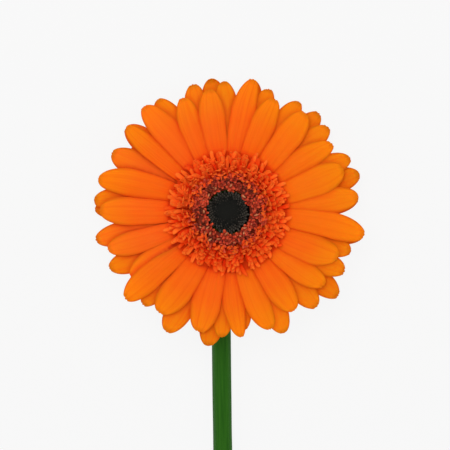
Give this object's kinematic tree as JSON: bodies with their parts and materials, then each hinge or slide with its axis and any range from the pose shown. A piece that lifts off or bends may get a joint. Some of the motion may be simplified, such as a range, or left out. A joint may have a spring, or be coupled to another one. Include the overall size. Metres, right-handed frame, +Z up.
{
  "type": "cut gerbera",
  "caption": "Cut gerbera lying face up: a long bare stem that bends up into a round head of layered orange ray petals around red trans florets and a dark disc.",
  "frame": {"origin": "on the surface that the flower lies on, under the centre of its bounding box", "axes": "+Z up from the surface, +Y along the stem from the cut end to the head, +X to the right of the face seen with the stem pointing down"},
  "size_m": [0.111, 0.4504, 0.0498],
  "materials": {
    "stem": "satin green stalk with fine ridges and short hairs",
    "involucre": "matte green scales with fine hairs",
    "ray_petals_back": "soft satin petals, orange with a yellow-orange tip",
    "ray_petals_middle": "soft satin petals, orange with a yellow-orange tip",
    "ray_petals_front": "soft satin petals, red-orange at the root",
    "trans_florets": "soft satin orange-red straps",
    "disc_florets": "soft dark red-brown with pale tips",
    "floret_buds": "soft near-black green"
  },
  "bodies": {
    "root": {"stem": "stem", "involucre": "involucre", "ray_petals_back": "ray_petals_back", "ray_petals_middle": "ray_petals_middle", "ray_petals_front": "ray_petals_front", "trans_florets": "trans_florets", "disc_florets": "disc_florets", "floret_buds": "floret_buds"}
  },
  "joints": []
}
